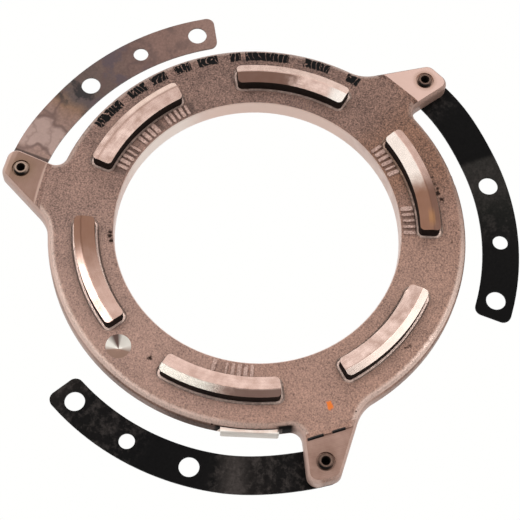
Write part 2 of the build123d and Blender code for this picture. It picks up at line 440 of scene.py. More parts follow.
def cover(face, mask, tint, strength=1.0):
    """Lays a screen colour over a face, as far as the mask says."""
    return mix(mask if strength == 1.0 else times(mask, strength), face, colour(*tint))


def two_tone(tone, dark, pale, low=0.2, high=0.8):
    return mix(remap(tone, low, high), colour(*dark), colour(*pale))


# lays the painted shadow of the third lug's step over a face
def score_over(face, coords):
    return cover(face, use_group(step_shadow_line, Vector=coords)["Mask"], (18, 13, 12))


# %% [markdown]
# The first material is the cast skin. Grain comes first, then what the hand and the machine
# did to it: rounded edges rubbed bright, slag, ink and a dab of paint. Over these lie
# painted light that pales the skin toward minus X, a painted highlight on the roundings,
# painted light on stretches of the outer wall, painted shadow round the broken gate and
# painted shade between the raised marks. The tables say where, clockwise.

# %% What lies on the cast skin
CAST_DEPTH = 0.2 * MM
ON_LUG_R = RING_R + 4.5
WARM_TINT, RUST_TINT = (1.09, 1.0, 0.9, 1), (0.98, 0.88, 0.74, 1)
# angle, and how far the rounding is worn and carries a painted highlight there
WEAR_AND_HIGHLIGHT = [(0, 0.4), (40, 0.35), (100, 0.4), (135, 0.12), (156, 0.2), (170, 0.65), (185, 1),
        (203, 1), (216, 0.8), (238, 0.75), (250, 0.3), (268, 0.7), (290, 0.9), (304, 1),
        (325, 1), (345, 0.8), (360, 0.4)]
# angles from and to, soft and ragged edge, strength of the painted light on the outer wall
LIT_WALLS = [(302, 328, 5, 0.4), (330, 368, 5, 0.8), (222, 240, 5, 0.5),
          (242, 246.2, 0.6, 0.85), (113, 133, 3, 0.45), (-6, 5, 1, 0.8)]
# painted shadow round the gate: angles from and to, soft, ragged; millimetres below the face
# from and to, soft; strength
GATE_SHADOWS = [((249.2, 266.5, 0.8, 1.5), (1.9, 8.5, 0.4), 1),
         ((245.4, 250, 0.8, 2), (1, 8.5, 0.4), 1),
         ((262, 279, 5, 4), (2.2, 10.5, 0.8), 0.55)]
# angles from and to, bars, and how dark the painted shade on the ground between them is
MARKS = [(8.5, 20, 6, 0.55), (24.5, 34, 5, 0.55), (37.5, 48.5, 6, 0.55),
         (128, 140, 6, 0.45), (156, 166, 5, 0.45), (257, 271, 7, 0.15)]
# scale here is the painted shadow round the broken gate
print("scale in", len(GATE_SHADOWS), "patches, marks in", len(MARKS), "rows")

# %% [markdown]
# Each step below takes the skin so far and lays one thing over it. The same masks then dull
# the ink and the painted shadow round the gate, and make the worn, highlighted edges more
# like bare metal.

# %% Cast skin
def worn_edge(drop, turn, radius, tone):
    """Bright roundings, worn metal with a painted highlight, weaker on the lugs."""
    stops = [(angle / 360, grey(share)) for angle, share in WEAR_AND_HIGHLIGHT]
    wear_and_highlight = colour_ramp(over(turn, 360.0), stops)
    on_lug = calc("GREATER_THAN", radius, ON_LUG_R)
    return times(between(drop, 0.2, 1.75, 0.3), calc("ADD", tone, 0.55, clamp=True),
                 calc("SUBTRACT", wear_and_highlight, times(on_lug, 0.55), clamp=True))


def cast_material(name, dark, pale, roughness=0.44, patches=None):
    """Cast skin; duller patches, if they have a colour, break up an even band."""
    material, shader, coords = new_material(name, roughness, 0.0, 0.4)
    grain = use_group(cast_grain, Vector=coords, Contrast=2.15)
    x, y, z = xyz(coords)
    radius, turn = use_group(polar, Vector=coords)
    drop = minus(RING_T, over(z, MM))
    # painted light: the skin grows paler toward minus X, and a little toward minus Y
    painted_light_drift = plus(times(x, -2.0), times(y, -0.4))
    skin = two_tone(plus(grain["Tone"], painted_light_drift), dark, pale, 0.02, 0.98)
    if patches:
        skin = cover(skin, remap(noise(coords, 330.0), 0.58, 0.42, 0.8), patches)
    warm = calc("MULTIPLY", y, -8.0, clamp=True)
    skin = mix(warm, skin, WARM_TINT, "MULTIPLY")
    bloom = film(coords, turn, 122.0, 150.0, 7.0, 8.0)    # beside the second lug
    skin = mix(bloom, skin, RUST_TINT, "MULTIPLY")
    # worn roundings with a painted highlight, as strong as the table says
    worn_and_highlight = worn_edge(drop, turn, radius, grain["Tone"])
    skin = cover(skin, worn_and_highlight, (255, 226, 212))
    # painted light on stretches of the outer wall, the lugs' walls among them
    for low, high, soft, share in LIT_WALLS:
        lit_wall = times(film(coords, turn, low, high, soft, soft), between(drop, 1.0, 11.0, 0.3))
        skin = cover(skin, lit_wall, (236, 202, 188), share)
    # painted shadow round the broken gate, kept to the rim's edge
    scale = highest(*[times(film(coords, turn, *arc), between(drop, *depth), share)
                      for arc, depth, share in GATE_SHADOWS])
    scale = times(scale, between(radius, RING_R - 4.0, RING_R + 2.6, 0.3))
    skin = cover(skin, scale, (20, 14, 12))
    # painted shade on the ground between the raised marks
    mark_shade = highest(*[times(between(turn, start - 0.8, end + 0.8, 0.6), grime_and_shade)
                     for start, end, _, grime_and_shade in MARKS])
    skin = cover(skin, times(between(radius, 70.6, 77.0, 0.4), mark_shade), (62, 42, 36))
    slag = use_group(specks, Vector=coords, Specks_per_metre=130.0, Size=0.07)["Mask"]
    slag = highest(slag, use_group(slag_spots, Vector=coords)["Mask"])
    skin = cover(skin, slag, (34, 16, 8), 0.95)
    strokes = use_group(ink, Vector=coords)["Mask"]
    skin = cover(skin, strokes, (9, 7, 7))
    dab = times(film(coords, radius, 93.4, 97.6, 0.7, 4.0),
                film(coords, turn, 234.0, 235.3, 0.25, 1.4))
    skin = score_over(cover(skin, dab, (238, 122, 30)), coords)
    fill(shader, {"Base Color": skin,
                  "Roughness": plus(roughness, times(highest(strokes, scale, slag), 0.5)),
                  "Metallic": calc("ADD", times(worn_and_highlight, 0.6), 0.15, clamp=True)})
    bump(shader, grain["Height"], CAST_DEPTH)
    return material


cast_skin = cast_material("cast_skin", (70, 46, 38), (189, 148, 131))
# the moats' lips: rubbed edges, made pale partly as a painted highlight
moat_lip = cast_material("moat_lip", (172, 140, 128), (255, 234, 222), 0.4,
                         patches=(132, 100, 88))
print("made", cast_skin.name, "and", moat_lip.name)

# %% [markdown]
# The lands, the lug pads, the bore and the friction face are cut metal: pale, smoother, and
# with rings about the axis. Dried oil stains them in stretches of the circle, and grime
# gathers round the rivets. The same tables also paint reflections, highlights, light and
# shade onto them in stretches. A dark film is also duller than the metal under it.

# %% Cut metal
DARK_FILM = 0.7          # a stain whose linear colours add up to less than this is dull


def cut_material(name, dark, pale, roughness, metallic, pitch, depth=0.004 * MM, grit=0.6,
                 stains_and_light=(), rings=()):
    """Turned or ground iron. A stain is: angles from and to, soft, ragged, radius from and
    to, colour, strength; some rows are painted reflections, highlights and shade. A ring of
    grime round a rivet is: the rivet's angle, how far the grime is full, where it ends,
    colour, strength."""
    material, shader, coords = new_material(name, roughness, metallic)
    lines = use_group(turned_lines, Vector=coords, Pitch=pitch)
    grain = use_group(cast_grain, Vector=coords, Grains_per_metre=1100.0, Contrast=grit)
    tone = plus(times(lines["Tone"], 0.2), times(grain["Tone"], 0.2),
                times(noise(coords, 190.0), 0.6))
    face = two_tone(tone, dark, pale, 0.36, 0.64)
    radius, turn = use_group(polar, Vector=coords)
    rough = plus(roughness - 0.06, times(grain["Tone"], 0.12))
    # stains, and rows that are painted reflections, highlights and shade
    for low, high, soft, ragged, low_r, high_r, tint, strength in stains_and_light:
        mask = times(film(coords, turn, low, high, soft, ragged),
                     film(coords, radius, low_r, high_r, 0.45, 0.4), strength)
        face = cover(face, mask, tint)
        if sum(colour(*tint)[:3]) < DARK_FILM:
            rough = plus(rough, times(mask, 0.14))
    for rivet_turn, full, end, tint, strength in rings:
        away = away_from(coords, at(RIVET_R, rivet_turn, PAD_Z))
        face = cover(face, remap(away, end, full, strength), tint)
    fill(shader, {"Base Color": score_over(face, coords), "Roughness": rough})
    bump(shader, lines["Height"], depth)
    return material


# %% [markdown]
# The stains on the lands come in rows of the table: which stretch of the circle, and which
# side of the land's crest. Pale rows are painted reflections of the lamps, brown rows are
# partly oil and partly painted reflection, and the rows on the crest are painted shade that
# dims its highlight. Later rows lie over earlier ones. The first lug's pad straddles the zero
# of the angle, so its tints are set twice, a turn apart.

# %% Stains of the cut faces
# oil stains and painted reflections: pale rows stand for lamps seen in the cut metal
LAND_STAINS_AND_REFLECTIONS = [
    (32, 50, 4, 3, 70, 84.2, (184, 152, 140), 0.4),
    (28, 50, 5, 3, 85.2, 92, (255, 228, 212), 0.5),
    (4, 50, 1, 0, 84.2, 85.5, (150, 116, 102), 0.6),
    (60, 365, 1, 0, 84.1, 84.9, (176, 142, 128), 0.3),
    (63, 112, 3, 4, 84.6, 92, (250, 222, 208), 0.45),
    (101.5, 112, 2.5, 3, 70, 84.2, (255, 250, 242), 0.75),
    (124, 150, 4, 4, 70, 84.2, (246, 236, 226), 0.75),
    (124, 158, 6, 4, 84.4, 92, (186, 150, 136), 0.55),
    (240, 292, 3, 4, 70, 84.2, (190, 158, 145), 0.4),
    (268, 292, 4, 4, 84.4, 92, (226, 220, 208), 0.9),
    (186, 229, 2, 0, 84.6, 92, (150, 139, 131), 0.8),
    (300, 332, 6, 4, 70, 84.2, (176, 142, 128), 0.7),
    (60, 88, 4, 10, 70, 84.2, (104, 74, 62), 0.95),
    (148, 175, 5, 4, 70, 85, (128, 90, 70), 0.95),
    (148, 175, 5, 4, 84.4, 92, (116, 83, 69), 0.95),
    (159.6, 164.2, 2, 2, 82.6, 85.6, (192, 140, 84), 0.32),
    (236, 266, 5, 9, 84.6, 92, (124, 98, 88), 0.95),
    (328, 358, 11, 3, 70, 85, (128, 92, 74), 0.95),
    (331, 358, 8, 3, 84.4, 92, (98, 68, 53), 0.97),
]
# the first pad: darkened as painted shade, with painted highlights along its edges
FIRST_PAD_SHADE_AND_HIGHLIGHTS = [(90, 140, (112, 84, 70), 0.6), (106, 109.3, (212, 182, 168), 0.45),
             (124.5, 140, (190, 160, 146), 0.35), (126.8, 140, (214, 184, 170), 0.5)]
PAD_TINTS_AND_LIGHT = [(start, start + 40, 2, 0, *tint) for tint in FIRST_PAD_SHADE_AND_HIGHLIGHTS for start in (-20, 340)]
# painted light: the second pad is made paler
PAD_TINTS_AND_LIGHT.append((100, 140, 2, 0, 90, 140, (216, 184, 172), 0.7))
PAD_RINGS = [(0, 4, 9, (116, 90, 66), 0.55), (120, 4.4, 6.5, (150, 116, 96), 0.6),
             (240, 4, 7, (120, 90, 74), 0.4)]
# painted light: two stretches of the bore wall are made paler
BORE_PAINTED_LIGHT = [(12, 50, 9, 0, 60, 75, (255, 240, 230), 0.85),
              (50, 116, 9, 0, 60, 75, (244, 214, 200), 0.85)]
# painted shadow at the top and the end of the broken gate, and painted light on its face
GATE_SHADOW_AND_LIGHT = [(240, 275, 2, 0, 94, 100.5, (60, 44, 38), 0.85),
              (240, 249.8, 0.3, 0.6, 94, 110, (60, 46, 42), 0.9),
              (240, 275, 2, 0, 102.4, 110, (255, 250, 242), 0.8)]
print("stains on the lands", len(LAND_STAINS_AND_REFLECTIONS))

# %% [markdown]
# A cut face is two tones, a roughness, how metallic it is and the pitch of its rings. The
# walls between a land and its moat aren't cut; they are painted near black, as painted shade
# in the narrow moat.

# %% Cut faces and dark walls
land_face = cut_material("land_face", (182, 151, 138), (234, 205, 193), 0.24, 0.8, 0.5,
                         grit=0.8, stains_and_light=LAND_STAINS_AND_REFLECTIONS)
pad_face = cut_material("pad_face", (150, 117, 103), (172, 139, 125), 0.3, 0.6, 0.8,
                        depth=0.002 * MM, stains_and_light=PAD_TINTS_AND_LIGHT, rings=PAD_RINGS)
bore_wall = cut_material("bore_wall", (222, 194, 183), (243, 219, 209), 0.45, 0.4, 0.6,
                         stains_and_light=BORE_PAINTED_LIGHT)
friction_face = cut_material("friction_face", (178, 160, 152), (224, 210, 202), 0.3, 0.85,
                             0.45, depth=0.01 * MM)
# the gate's ground face, made pale partly as painted light
gate_face = cut_material("gate_face", (230, 204, 190), (255, 240, 229), 0.55, 0.5, 0.9,
                         grit=2.2, stains_and_light=GATE_SHADOW_AND_LIGHT)

# painted shade: a near-black finish for the moat walls and the rivets' bores
shaded_wall, shader, coords = new_material("shaded_wall", 0.9, 0.0, 0.2)
grain = use_group(cast_grain, Vector=coords)
fill(shader, {"Base Color": two_tone(grain["Tone"], (12, 9, 8), (56, 42, 36))})
bump(shader, grain["Height"], CAST_DEPTH)
print("materials", len(bpy.data.materials))

# %% [markdown]
# The balance drilling is a plain cone left by a twist drill. The cutting lips leave rings,
# and its polished side throws the light in sectors: most of it is lit, but for one narrow
# dark wedge and one broad shaded side. Three tones and the angles where each is reached
# are enough for that. Its rings run about its own axis, so a Mapping node moves the pattern
# there first.

# %% Drilled cone
DRILL_R, DRILL_TURN, DRILL_D = 89.6, 301.4, 12.0
LIT, SHADED, WEDGE = colour(255, 250, 240), colour(160, 128, 112), colour(112, 88, 80)
# degrees about the cone's axis where each tone is reached
SECTORS = [(15, LIT), (50, WEDGE), (70, WEDGE), (95, LIT), (155, LIT), (195, SHADED),
           (325, SHADED), (350, LIT)]
drill_middle = at(DRILL_R, DRILL_TURN)
drill_face, shader, coords = new_material("drill_face", 0.5, 0.3)
centred = moved(coords, -drill_middle)
around = use_group(polar, Vector=centred)["Clockwise"]
fill(shader, {"Base Color": colour_ramp(over(around, 360.0), [
    (degrees / 360, tone) for degrees, tone in SECTORS])})
bump(shader, use_group(turned_lines, Vector=centred, Pitch=0.6)["Height"], 0.004 * MM)
print("drilling at", [round(v / MM, 1) for v in drill_middle])

# %% [markdown]
# ## The casting
# The CAD ring is exact, so its form is kept. Its triangles come unjoined, which would leave
# every facet hard, so a copy is welded, shaded smooth and given sharp edges by angle.

# %% Weld a copy of the ring
def new_piece(name, data):
    piece = bpy.data.objects.new(name, data)
    bpy.context.scene.collection.objects.link(piece)
    return piece


def weld(mesh, reach, sharp, outward=False):
    """Joins corners closer than a reach and shades smooth up to an angle in degrees."""
    work = bmesh.new()
    work.from_mesh(mesh)
    bmesh.ops.remove_doubles(work, verts=work.verts, dist=reach)
    if outward:
        bmesh.ops.recalc_face_normals(work, faces=work.faces)
    work.to_mesh(mesh)
    work.free()
    mesh.materials.clear()
    if "custom_normal" in mesh.attributes:
        mesh.attributes.remove(mesh.attributes["custom_normal"])
    mesh.shade_smooth()
    mesh.set_sharp_from_angle(angle=math.radians(sharp))


def bake_modifiers(piece):
    """Turns the evaluated piece into a plain mesh on the same object."""
    bpy.context.view_layer.update()
    graph = bpy.context.evaluated_depsgraph_get()
    mesh = bpy.data.meshes.new_from_object(piece.evaluated_get(graph))
    piece.modifiers.clear()
    old, piece.data = piece.data, mesh
    mesh.name = piece.name
    if old.users == 0:
        bpy.data.meshes.remove(old)


ring = new_piece("ring_casting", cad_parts["pressure_ring"].data.copy())
weld(ring.data, 0.002 * MM, 28.0)
print("ring", len(ring.data.vertices), "vertices", len(ring.data.polygons), "faces")

# %% [markdown]
# Each triangle gets its finish from its place: height, radius and slope. The Weighted
# Normal modifier then lets the large flats keep their own direction beside the roundings.

# %% Sort the ring's faces by finish
FINISHES = [cast_skin, land_face, shaded_wall, moat_lip, bore_wall, pad_face, friction_face,
            drill_face, gate_face]
GATE_TURN, GATE_HALF = 257.0, 8.5        # the broken gate, in degrees
MOAT_W = 2.2                             # the moat and its lip reach this far from a land
COUNTERBORE_R = 4.7


def apart(angle, other, period=360.0):
    """The smaller way round between two angles."""
    half = period / 2
    return abs((angle - other + half) % period - half)


def moat_finish(r, z, slope, turn):
    """Faces on and round a land, where slope is the upward part of the normal."""
    if z > RING_T + 3 and slope > 0.7:
        return land_face
    if z < RING_T - 0.02 and slope > 0.3:
        unlit = r < LAND_IN_R and not 60 < turn < 290
        return cast_skin if unlit else moat_lip
    return shaded_wall if slope < 0.3 and z > RING_T - 0.6 else cast_skin


def finish_of(centre, normal):
    p = centre / MM
    r, z, slope, turn = math.hypot(p.x, p.y), p.z, normal.z, clockwise_of(centre)
    if slope < -0.9:
        return friction_face if z < 0.2 else pad_face
    if r < BORE_R + 0.45 and (normal.x * p.x + normal.y * p.y) / r < -0.3:
        return bore_wall
    if (centre - drill_middle).xy.length / MM < DRILL_D / 2 and z < RING_T - 0.01:
        return drill_face
    if LAND_IN_R - MOAT_W < r < LAND_OUT_R + MOAT_W and z > PAD_Z:
        return moat_finish(r, z, slope, turn)
    if r > RING_R - 0.3 and apart(turn, GATE_TURN) < GATE_HALF:
        return gate_face
    if r > RING_R + 4 and z < RING_T - 0.9:
        in_counterbore = z > PAD_Z - 1.3 and apart(turn, 0.0, LUG_TURN) < 3.0 \
            and abs(r - RIVET_R) < COUNTERBORE_R
        if in_counterbore or (slope > 0.98 and abs(z - PAD_Z) < 0.05):
            return pad_face
    return cast_skin


for finish in FINISHES:
    ring.data.materials.append(finish)
counts = dict.fromkeys((finish.name for finish in FINISHES), 0)
for polygon in ring.data.polygons:
    finish = finish_of(polygon.center, polygon.normal)
    polygon.material_index = FINISHES.index(finish)
    counts[finish.name] += 1
ring.modifiers.new("flats_first", "WEIGHTED_NORMAL").keep_sharp = True
bake_modifiers(ring)
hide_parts("pressure_ring")
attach(ring, "plate")
print("faces by finish", counts)

# %% [markdown]
# ## Geometry Nodes, and how a tree is run
# What repeats or follows a rule is made by Geometry Nodes: a tree takes a simple input and
# named sizes. The values are set on the modifier by each socket's identifier, before the
# object is first evaluated, and the result is then turned into a plain mesh.

# %% Helpers for geometry trees
def geometry_tree(name, **sizes):
    """A tree with a geometry input, named numbers and a material."""
    inputs = {"Geometry": "Geometry", **spaced(sizes), "Finish": "Material"}
    return new_tree(name, "GeometryNodeTree", inputs, {"Geometry": "Geometry"})


def shape(kind, values=None, tree=None, **settings):
    """A geometry node; its tree is the tree of its inputs, unless it has none."""
    tree = tree or tree_of(*values.values())
    return add(tree, "GeometryNode" + kind, values, **settings).outputs[0]


def finish_tree(sink, geometry, finish):
    """Every tree ends by making its instances real and giving them their material."""
    real = shape("RealizeInstances", {0: geometry})
    fill(sink, {0: shape("SetMaterial", {"Geometry": real, "Material": finish})})


def run_tree(name, mesh, tree, finish, **sizes):
    piece = new_piece(name, mesh)
    modifier = piece.modifiers.new(tree.name, "NODES")
    modifier.node_group = tree
    sizes = spaced(sizes) | {"Finish": finish}
    for item in tree.interface.items_tree:
        if item.in_out == "INPUT" and item.name in sizes:
            modifier[item.identifier] = sizes[item.name]
    bake_modifiers(piece)
    weld(piece.data, 0.001 * MM, 35.0, outward=True)
    piece.data.materials.append(finish)
    piece.data.polygons.foreach_set("material_index", [0] * len(piece.data.polygons))
    return piece


# %% [markdown]
# ## Hollow rivets
# A semi-tubular rivet has a flat head and a drilled end that is rolled over in the lug's
# counterbore. Its shape is one profile turned about its axis, and there are three of them,
# which suits a tree well: the profile is swept round a small circle and set on three points.

# %% Rivet profile
HEAD_R, HEAD_T, SHANK_R, LIP_R, HOLE_R = 6.0, 2.0, 3.0, 3.7, 1.9


def rounded_line(points, radius, steps=4):
    """Points in (radius, height) millimetres with every inner corner rounded."""
    line = [Vector(points[0])]
    for before, corner, after in zip(points, points[1:], points[2:]):
        before, corner, after = Vector(before), Vector(corner), Vector(after)
        back, on = (before - corner), (after - corner)
        reach = min(radius, back.length * 0.45, on.length * 0.45)
        start, end = corner + back.normalized() * reach, corner + on.normalized() * reach
        for i in range(steps + 1):
            t = i / steps
            line.append(start * (1 - t) ** 2 + corner * 2 * t * (1 - t) + end * t * t)
    return line + [Vector(points[-1])]


PACK_Z = RIVET_LOW + HEAD_T    # where the leaves lie on the head
rivet_line = rounded_line([
    (0, RIVET_LOW), (HEAD_R, RIVET_LOW), (HEAD_R, PACK_Z), (SHANK_R, PACK_Z),
    (SHANK_R, PAD_Z - 1.0), (LIP_R, PAD_Z - 0.2), (LIP_R, PAD_Z + 0.35), (2.9, RIVET_TOP),
    (2.2, RIVET_TOP), (HOLE_R, RIVET_TOP - 0.8), (HOLE_R, RIVET_TOP - 6.0),
    (0, RIVET_TOP - 7.0)], 0.35)
profile = bpy.data.meshes.new("rivet_profile")
profile.from_pydata([(p.x * MM, -p.y * MM, 0) for p in rivet_line],
                    [(i, i + 1) for i in range(len(rivet_line) - 1)], [])
print("rivet profile", len(rivet_line), "points, top", round(RIVET_TOP, 2), "mm")

# %% [markdown]
# The tree shifts the profile inward by a small radius and sweeps it round a circle of that
# radius, so the points on the axis meet and the weld joins them. The pin is set on three
# points of a circle, and a quarter turn brings the first one to its lug.

# %% Rivet tree
rivet_tree, source, sink = geometry_tree(
    "turned_pins", Pitch_radius=0.12, Count=3, Facets=48, Core=1.0 * MM)
outline = shape("Transform", {"Geometry": shape("MeshToCurve", {0: source["Geometry"]}),
                              "Translation": joined(times(source["Core"], -1.0))})
path = shape("CurvePrimitiveCircle",
             {"Resolution": source["Facets"], "Radius": source["Core"]})
pin = shape("CurveToMesh", {"Curve": path, "Profile Curve": outline})
posts = shape("MeshCircle", {"Vertices": source["Count"], "Radius": source["Pitch radius"]})
placed = shape("InstanceOnPoints", {"Points": posts, "Instance": pin})
placed = shape("Transform", {"Geometry": placed, "Rotation": (0, 0, math.radians(90))})
finish_tree(sink, placed, source["Finish"])
print("tree", rivet_tree.name, "with", len(rivet_tree.nodes), "nodes")

# %% [markdown]
# The steel on the first lug is paler, as a painted highlight. Painted shade darkens the
# outside of each tip, on the side toward minus X: a window on the distance from the axis,
# times a slope on X.

# %% Rivet steel
rivet_skin, shader, coords = new_material("rivet_skin", 0.55, 0.2, 0.3)
grain = use_group(cast_grain, Vector=coords, Grains_per_metre=900.0, Contrast=0.8)
first_rivet_lit = calc("GREATER_THAN", xyz(coords)[1], RIVET_R * MM / 2)
steel = mix(first_rivet_lit, two_tone(grain["Tone"], (84, 64, 54), (138, 110, 96)),
            two_tone(grain["Tone"], (140, 116, 100), (196, 170, 152)))
RIVET_SPOTS = [at(RIVET_R, LUG_TURN * i) for i in range(len(LUGS))]
for middle in RIVET_SPOTS:
    offset = shade("VectorMath", {0: coords, 1: middle}, operation="SUBTRACT")
    x, y, z = xyz(offset.outputs[0])
    flank = between(over(calc("SQRT", plus(times(x, x), times(y, y))), MM), 3.0, 7.0, 0.15)
    # painted shade on the rivet's flank toward minus X
    grime_and_shade = times(flank, remap(over(x, MM), -0.8, -2.6),
                  calc("GREATER_THAN", z, (PAD_Z - 2.0) * MM))
    steel = cover(steel, grime_and_shade, (20, 15, 13))
fill(shader, {"Base Color": steel})
bump(shader, grain["Height"], 0.04 * MM)
print("made", rivet_skin.name)

# %% [markdown]
# One run of the tree makes all three rivets. The faces inside a bore are the ones close to
# an axis and away from both ends, and they take the near-black finish of painted shade.

# %% The three rivets
rivets = run_tree("rivets", profile, rivet_tree, rivet_skin, Pitch_radius=RIVET_R * MM)
rivets.data.materials.append(shaded_wall)
for face in rivets.data.polygons:
    from_axis = min((middle - face.center).xy.length for middle in RIVET_SPOTS) / MM
    in_bore = from_axis < HOLE_R + 0.25 and \
        RIVET_TOP - 9 < face.center.z / MM < RIVET_TOP - 0.15
    face.material_index = 1 if in_bore else 0
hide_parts("rivet_a", "rivet_b", "rivet_c")
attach(rivets, "plate")
spread = [round(v / MM, 1) for v in rivets.dimensions]
print("rivets", len(rivets.data.polygons), "faces, spread", spread, "mm")

# %% [markdown]
# ## Leaf straps
# Each lug holds two thin spring-steel leaves. A leaf is blanked flat as an arc with three
# holes and then joggled, so its foot sits lower than its riveted end. The script draws the
# flat blank and slices it into narrow strips; the tree bends it by the rule of the joggle,
# gives it its thickness and turns it to its lug. One tree makes all six leaves.

# %% The flat blank
LEAF_W, LEAF_T = 18.0, 0.6
HOLES = [(0, 6.2), (30, 9.6), (45, 7.6), (60, 9.6)]   # degrees, diameter
HEEL_ANGLE = math.degrees(6.6 / RIVET_R)
END_ANGLE = 60.0 + math.degrees(9.6 / RIVET_R)
HEEL_CORNER, END_CORNER = 6.5, 4.0       # corner radii
SLICE = 1.5                              # degrees


def corner_arc(radius, clockwise, corner, toward_r, toward_a, steps=7):
    """Quarter circle that rounds one corner of the strip."""
    middle = at(radius + toward_r * corner,
                clockwise + toward_a * math.degrees(corner / radius))
    along = (at(radius, clockwise + 90) - at(radius, clockwise - 90)).normalized()
    across = at(radius, clockwise).normalized()
    angles = [math.radians(90 * i / steps) for i in range(steps + 1)]
    return [middle - across * toward_r * corner * MM * math.cos(a)
            - along * toward_a * corner * MM * math.sin(a) for a in angles]


def blank_outlines():
    """The edge of the strip and the edges of its holes."""
    inner, outer = RIVET_R - LEAF_W / 2, RIVET_R + LEAF_W / 2
    strip = corner_arc(outer, -HEEL_ANGLE, HEEL_CORNER, -1, 1)[::-1]
    strip += [at(outer, a) for a in range(2, 62, 2)]
    strip += corner_arc(outer, END_ANGLE, END_CORNER, -1, -1)
    strip += corner_arc(inner, END_ANGLE, END_CORNER, 1, -1)[::-1]
    strip += [at(inner, a) for a in range(60, 0, -2)]
    strip += corner_arc(inner, -HEEL_ANGLE, HEEL_CORNER, 1, 1)
    circle = [2 * math.pi * i / 40 for i in range(40)]
    return [strip] + [[at(RIVET_R, angle) + Vector((math.cos(t), math.sin(t), 0))
                       * diameter / 2 * MM for t in circle] for angle, diameter in HOLES]


def leaf_blank():
    work = bmesh.new()
    for points in blank_outlines():
        verts = [work.verts.new(p) for p in points]
        for a, b in zip(verts, verts[1:] + verts[:1]):
            work.edges.new((a, b))
    bmesh.ops.triangle_fill(work, use_beauty=True, use_dissolve=False, edges=work.edges,
                            normal=(0, 0, 1))
    angle = -2.0
    while angle < END_ANGLE:
        bmesh.ops.bisect_plane(work, geom=work.verts[:] + work.edges[:] + work.faces[:],
                               dist=0.005 * MM, plane_co=(0, 0, 0),
                               plane_no=at(RIVET_R, angle + 90))
        angle += SLICE
    for face in work.faces:
        if face.normal.z < 0:
            face.normal_flip()
    mesh = bpy.data.meshes.new("leaf_blank")
    work.to_mesh(mesh)
    work.free()
    return mesh


blank = leaf_blank()
print("leaf blank", len(blank.polygons), "faces from", round(-HEEL_ANGLE, 1), "to",
      round(END_ANGLE, 1), "degrees")

# %% [markdown]
# The bend runs square to one radius of the strip. The tree measures how far each corner is
# along that run, and a smooth step turns the distance into a drop. The underside is the
# same sheet pushed down by the thickness.

# %% The joggle tree
leaf_tree, source, sink = geometry_tree(
    "joggled_leaf", Seat_height=0.5 * MM, Drop=3.0 * MM, Thickness=LEAF_T * MM,
    Bend_middle=math.radians(15.0), Bend_reach=17.0 * MM, Lug_turn=0.0)
x, y, _ = xyz(shape("InputPosition", tree=leaf_tree))
run = minus(times(x, calc("COSINE", source["Bend middle"])),
            times(y, calc("SINE", source["Bend middle"])))
reach = source["Bend reach"]
fall = remap(run, times(reach, -1.1), times(reach, 1.1), times(source["Drop"], -1.0),
             interpolation_type="SMOOTHSTEP")
sheet = shape("SetPosition", {"Geometry": source["Geometry"],
                              "Offset": joined(z=plus(source["Seat height"], fall))})
down = joined(z=times(source["Thickness"], -1.0))
under = shape("ExtrudeMesh", {"Mesh": sheet, "Offset": down, "Offset Scale": 1.0,
                              "Individual": False})
both = add(leaf_tree, "GeometryNodeJoinGeometry")
for part in (sheet, shape("FlipFaces", {0: under})):
    fill(both, {0: part})
turned = shape("Transform", {"Geometry": both.outputs[0],
                             "Rotation": joined(z=times(source["Lug turn"], -1.0))})
finish_tree(sink, turned, source["Finish"])
print("tree", leaf_tree.name, "with", len(leaf_tree.nodes), "nodes")

# %% [markdown]
# ## Strap finishes
# One strap is bright steel, stained by dried oil in islands with a dark rim, and two are
# blued almost black by hardening. Colour along a strap is read from its angle through a
# colour ramp, and noise bends the borders between the stretches. Where a strap bends, its
# tint is partly a painted sheen.

# %% Strap material
STRAP_SPAN = 70.0        # degrees from the rivet that the ramp covers


def strap_material(name, lug_turn, stops, roughness, metallic, specular, ragged, grit):
    """A stop is degrees from the rivet and a screen colour; near the bend some stops are a
    painted sheen.
    """
    material, shader, coords = new_material(name, roughness, metallic, specular)
    _, turn = use_group(polar, Vector=moved(coords, turn=lug_turn))
    along = plus(turn, wobble(coords, ragged, 110.0, 4.0))
    along = shade("Math", {0: along, 1: 300.0, 2: -60.0}, operation="WRAP").outputs[0]
    tint = colour_ramp(over(along, STRAP_SPAN), [
        (degrees / STRAP_SPAN, colour(*screen)) for degrees, *screen in stops])
    grain = use_group(cast_grain, Vector=coords, Grains_per_metre=800.0, Contrast=grit)
    grime_and_shade = mix(remap(grain["Tone"], 0.2, 0.8), (0.72, 0.70, 0.68, 1), (1.25, 1.22, 1.2, 1))
    bump(shader, grain["Height"], 0.02 * MM)
    return material, shader, coords, turn, mix(1.0, tint, grime_and_shade, "MULTIPLY")


def contour(field, level, outer, inner):
    """A line where a field crosses a level, fading from inner to outer."""
    return remap(calc("ABSOLUTE", minus(field, level)), outer, inner)


# %% [markdown]
# The bright strap's oil dried in drops: pale islands near the rivet, a dark rim round each,
# finer lines, and smoky clouds along the middle. Every cloud reads the noise in its own
# layer, so that their shapes don't repeat each other. Shade gathers at the lug's edge.

# %% Bright strap
BARE_TINT_AND_SHEEN = [(0, 152, 124, 113), (12, 158, 131, 121), (19, 146, 118, 107), (22, 134, 104, 84),
        (25, 92, 78, 72), (33, 98, 80, 74), (42, 116, 91, 84), (52, 128, 100, 91),
        (64, 146, 117, 107)]
